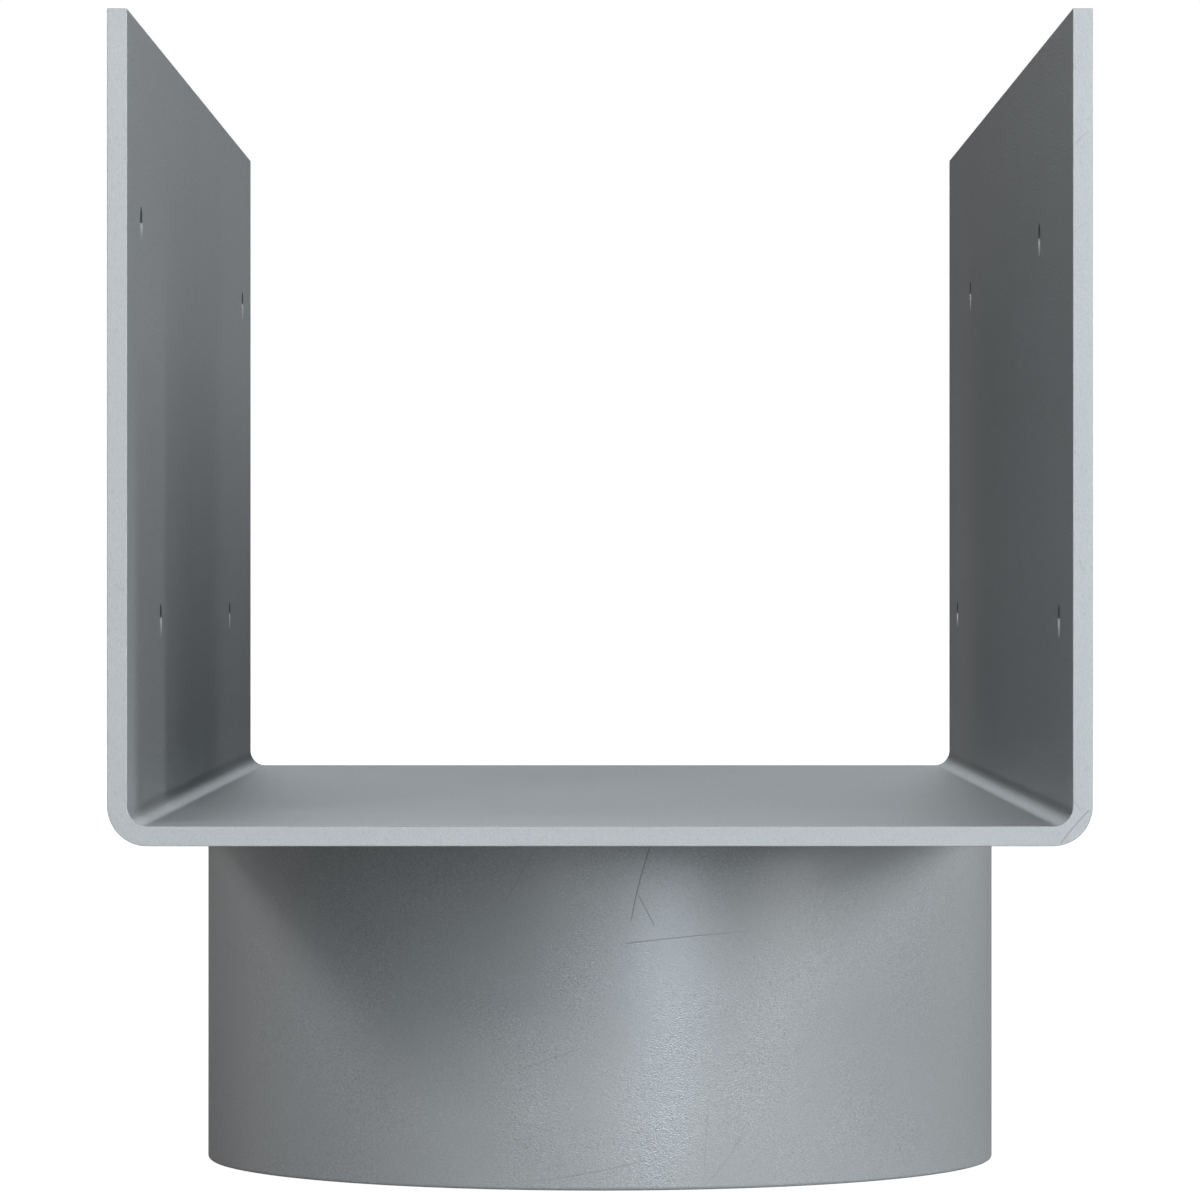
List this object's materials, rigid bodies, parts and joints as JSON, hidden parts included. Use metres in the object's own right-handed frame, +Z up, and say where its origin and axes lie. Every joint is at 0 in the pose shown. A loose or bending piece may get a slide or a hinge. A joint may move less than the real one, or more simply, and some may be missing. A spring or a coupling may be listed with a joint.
{
  "type": "column cap",
  "caption": "Steel column cap: a folded U-shaped saddle that holds a wood beam, welded on a short round sleeve that drops over the top of a pipe column.",
  "frame": {"origin": "middle of the sleeve's lower rim, on the surface that the cap stands on", "axes": "+Z up, along the column; +Y along the beam and the saddle's length; X across the beam, from leg to leg"},
  "size_m": [0.1224, 0.2922, 0.1549],
  "materials": {
    "grey_paint": "grey paint with a fine leathery skin, half matt with a faint metal sheen, with a few thin scratches"
  },
  "bodies": {
    "root": {"beam_saddle": "grey_paint", "column_sleeve": "grey_paint", "front_weld": "grey_paint", "rear_weld": "grey_paint"}
  },
  "joints": []
}
